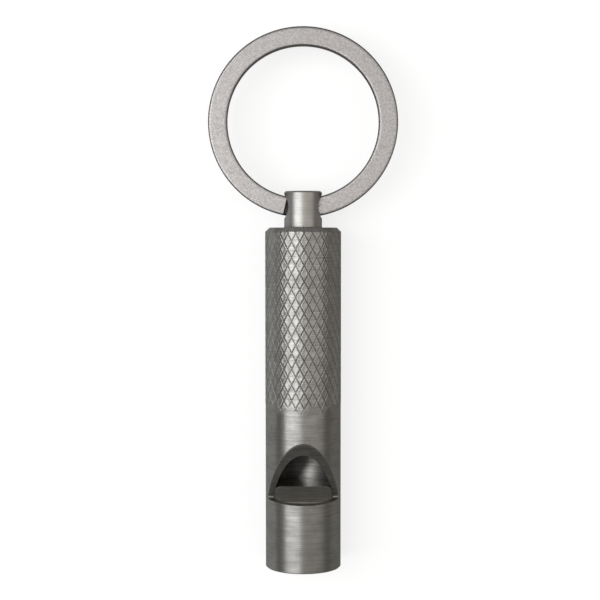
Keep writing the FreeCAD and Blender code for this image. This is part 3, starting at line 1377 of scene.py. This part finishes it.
@dataclass(frozen=True)
class SplitRing:
    """Flat split ring: one flat wire wound twice, stepping up from turn to turn in the eye."""

    centre: Vector
    outer_radius: float
    half_height: float
    band: float = 2.5 * MM
    thickness: float = 0.73 * MM
    edge_radius: float = 0.30 * MM
    crossover: float = 4.3 * MM
    end_gap: float = 0.27 * MM
    # Painted shade in the step between the turns: how far back along the lower turn it starts, and
    # the climb's angles over which it fades.
    painted_step_shade_length: float = 0.5 * MM
    painted_step_shade_ends: tuple[float, float] = (90 * DEGREE, 135 * DEGREE)
    sections: int = 481
    side_cuts: int = 5
    edge_facets: int = 4

    def build(self, metal: bpy.types.Material) -> bpy.types.Object:
        """Wind the wire and make the ring.

        Args:
            metal: The ring's material.

        Returns:
            The finished object.
        """
        radius = self.outer_radius - self.band / 2
        half_cross = self.crossover / 2 / radius
        gap = self.end_gap / radius
        rule = Rule("split_ring_wire", {
            "Sections": self.sections,
            "Radius": radius,
            "Start": half_cross + gap,
            "Sweep": 2 * TURN - 2 * half_cross - 2 * gap,
            "Step Start": TURN - half_cross,
            "Step End": TURN + half_cross,
            "Turn Height": self.half_height - self.thickness / 2,
            "Centre Y": self.centre.y,
            "Centre Z": self.centre.z,
            "Band": self.band,
            "Thickness": self.thickness,
            "Edge Radius": self.edge_radius,
            "Grime Length": self.painted_step_shade_length,
            "Metal": metal,
        })
        given = rule.given
        line = rule.add("GeometryNodeMeshLine", {"Count": given["Sections"]})
        index = rule.add("GeometryNodeInputIndex").outputs[0]
        way = rule.sum("DIVIDE", index, rule.sum("SUBTRACT", given["Sections"], 1.0))
        angle = rule.sum("MULTIPLY_ADD", way, given["Sweep"], given["Start"])
        step = rule.ramp(angle, given["Step Start"], given["Step End"], math.pi, 0.0)
        rise = rule.sum("MULTIPLY_ADD", rule.sum("COSINE", step), given["Turn Height"],
                        given["Centre Z"])
        across = rule.product(rule.sum("SINE", angle), given["Radius"])
        back = rule.product(rule.sum("COSINE", angle), given["Radius"])
        along = rule.sum("SUBTRACT", given["Centre Y"], back)
        # Painted shade: the wire is darkened at the end of the lower turn and where it starts to
        # climb, the step that lies in shade under the upper turn's cut end.
        under_end = rule.sum("SUBTRACT", given["Step Start"],
                             rule.sum("DIVIDE", given["Grime Length"], given["Radius"]))
        grime = rule.product(rule.sum("GREATER_THAN", angle, under_end),
                             rule.ramp(step, *self.painted_step_shade_ends))
        coil = rule.add("GeometryNodeSetPosition", {
            "Geometry": rule.store(line.outputs[0], "grime", grime),
            "Position": rule.vector(across, along, rise)})
        path = rule.add("GeometryNodeMeshToCurve", {0: coil.outputs[0]})
        flat = rule.add("GeometryNodeSetCurveNormal", {0: path.outputs[0]}, mode="Z_UP")
        section = rule.add("GeometryNodeCurvePrimitiveQuadrilateral",
                           {"Width": given["Band"], "Height": given["Thickness"]})
        finer = rule.add("GeometryNodeSubdivideCurve", {0: section.outputs[0],
                                                        "Cuts": self.side_cuts})
        rounded = rule.add("GeometryNodeFilletCurve", {
            0: finer.outputs[0], "Radius": given["Edge Radius"], "Count": self.edge_facets},
            mode="POLY")
        swept = rule.add("GeometryNodeCurveToMesh", {
            "Curve": flat.outputs[0], "Profile Curve": rounded.outputs[0], "Fill Caps": True})
        rule.close(swept.outputs[0])
        skin = Skin()
        skin.take(rule.run(bpy.data.meshes.new("split_ring_seed")), 0)
        return skin.close("wound_ring", [metal])


@dataclass(frozen=True)
class Lamp:
    """Soft box that faces the whistle: where it hangs, its size and its radiance."""

    name: str
    bearing: float
    pitch: float
    half_width: float
    half_length: float
    radiance: float
    colour: Colour
    distance: float = 0.6

    def hang(self, target: Vector) -> None:
        """Hang the lamp round a target.

        Args:
            target: What the lamp faces.
        """
        light = bpy.data.lights.new(self.name, "AREA")
        light.shape = "RECTANGLE"
        light.size = 2 * self.distance * math.tan(self.half_width)
        light.size_y = 2 * self.distance * math.tan(self.half_length)
        light.energy = self.radiance * math.pi * light.size * light.size_y
        light.color = self.colour
        lamp = bpy.data.objects.new(self.name, light)
        away = Vector((math.sin(self.bearing) * math.cos(self.pitch), math.sin(self.pitch),
                       math.cos(self.bearing) * math.cos(self.pitch)))
        lamp.location = target + away * self.distance
        across = Vector((0, 1, 0)).cross(away).normalized()
        lamp.rotation_euler = Matrix((across, away.cross(across), away)).transposed().to_euler()
        bpy.context.scene.collection.objects.link(lamp)


@dataclass(frozen=True)
class Studio:
    """Pale floor, soft lamps and the camera over the whistle."""

    datum: Datum
    focal_length: float = 85.14
    distance: float = 188.3 * MM
    sight_place: float = 35.6 * MM
    sight_across: float = -0.41 * MM
    tilt: float = 2.8 * DEGREE
    roll: float = -0.03 * DEGREE
    floor_size: float = 3.0
    floor_white: float = 0.30
    floor_glow: float = 0.76
    seen_glow: Colour = (1.0, 1.0, 1.0)
    # painted reflection: the floor's glow as the metal sees it, lighter on the lit left and darker
    # and warmer on the shaded right
    left_painted_reflection: Colour = (0.54, 0.54, 0.54)
    right_painted_reflection: Colour = (0.22, 0.20, 0.17)
    painted_reflection_reach: float = 15 * MM
    room: Colour = (0.226, 0.223, 0.219)
    nearest_seen: float = 1 * MM

    def lamps(self) -> list[Lamp]:
        """List the soft boxes.

        Returns:
            The key to the left and the warmer fill to the right.
        """
        return [
            Lamp(name="key_box", bearing=-31.5 * DEGREE, pitch=2.5 * DEGREE,
                 half_width=24 * DEGREE, half_length=19 * DEGREE, radiance=3.65,
                 colour=(0.99, 1.0, 1.0)),
            Lamp(name="fill_box", bearing=30 * DEGREE, pitch=5 * DEGREE, half_width=34 * DEGREE,
                 half_length=18 * DEGREE, radiance=1.06, colour=(1.0, 0.93, 0.87)),
        ]

    def lay_floor(self) -> None:
        """Lay the pale floor that the whistle rests on."""
        paint, graph, shader = new_material("pale_floor")
        path = graph.add("ShaderNodeLightPath").outputs
        here = graph.add("ShaderNodeTexCoord").outputs["Object"]
        # Painted reflection: glossy rays see the floor lighter on the left, where the key lamp
        # falls, and darker on the right, where the whistle's shadow falls.
        across = graph.add("ShaderNodeSeparateXYZ", {0: here}).outputs["X"]
        side = graph.ramp(across, -self.painted_reflection_reach, self.painted_reflection_reach, shape="SMOOTHSTEP")
        painted_reflection = graph.mix(side, self.left_painted_reflection, self.right_painted_reflection)
        seen = graph.sum("MAXIMUM", path["Is Camera Ray"],
                         graph.sum("MAXIMUM", path["Is Glossy Ray"], path["Is Transmission Ray"]))
        graph.feed(shader, {
            "Base Color": grey(self.floor_white),
            "Roughness": 1.0,
            "Specular IOR Level": 0.0,
            "Emission Color": graph.mix(path["Is Camera Ray"], painted_reflection, self.seen_glow),
            "Emission Strength": graph.product(seen, self.floor_glow),
        })
        half = self.floor_size / 2
        mesh = bpy.data.meshes.new("floor")
        corners = [(-half, -half, 0), (half, -half, 0), (half, half, 0), (-half, half, 0)]
        mesh.from_pydata(corners, [], [(0, 1, 2, 3)])
        mesh.materials.append(paint)
        place_object("floor", mesh)

    def light_room(self) -> None:
        """Give the room its dim even light."""
        world = bpy.data.worlds.new("room")
        world.use_nodes = True
        world.node_tree.nodes["Background"].inputs["Color"].default_value = (*self.room, 1)
        bpy.context.scene.world = world

    def place_camera(self) -> None:
        """Put the camera nearly straight over the whistle, with the ring at the picture's top."""
        camera = bpy.data.objects.new("camera", bpy.data.cameras.new("camera"))
        camera.data.lens = self.focal_length
        camera.data.clip_start = self.nearest_seen
        target = self.datum.beside(self.sight_across, self.sight_place, 0)
        away = Vector((0, math.sin(self.tilt), math.cos(self.tilt)))
        camera.location = target + away * self.distance
        camera.rotation_euler = (-self.tilt, 0, self.roll)
        bpy.context.scene.collection.objects.link(camera)
        bpy.context.scene.camera = camera

    def build(self) -> None:
        """Set up the floor, the light and the camera."""
        self.lay_floor()
        self.light_room()
        for lamp in self.lamps():
            lamp.hang(self.datum.beside(0, self.sight_place, 0))
        self.place_camera()
        bpy.context.scene.view_settings.view_transform = "Standard"


def main() -> None:
    """Build the whistle's pieces in order, then the studio."""
    logging.basicConfig(level=logging.INFO, format="%(name)s: %(message)s")
    clear_start_up()
    body_low, body_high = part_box("whistle_body")
    ring_low, ring_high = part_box("split_ring")
    datum = Datum(body_low.y, (ring_low.z + ring_high.z) / 2)
    groups = ToolMarks().group(), Patina().group()
    metals = {area: finish.build(*groups) for area, finish in BODY_FINISHES.items()}

    body = WhistleBody(datum, body_high.y - body_low.y).build(metals)
    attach(body, "whistle")
    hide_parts("whistle_body")
    LOG.info("%s: %d triangles", body.name, triangles_of(body))

    plug_metals = {area: finish.build(*groups) for area, finish in PLUG_FINISHES.items()}
    plug = WindwayPlug(datum).build(plug_metals)
    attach(plug, "whistle")
    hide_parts("windway_plug")
    LOG.info("%s: %d triangles", plug.name, triangles_of(plug))

    ring = SplitRing((ring_low + ring_high) / 2, (ring_high.x - ring_low.x) / 2,
                     (ring_high.z - ring_low.z) / 2).build(RING_FINISH.build(*groups))
    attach(ring, "ring")
    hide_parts("split_ring")
    LOG.info("%s: %d triangles", ring.name, triangles_of(ring))

    Studio(datum).build()


if __name__ == "__main__":
    main()
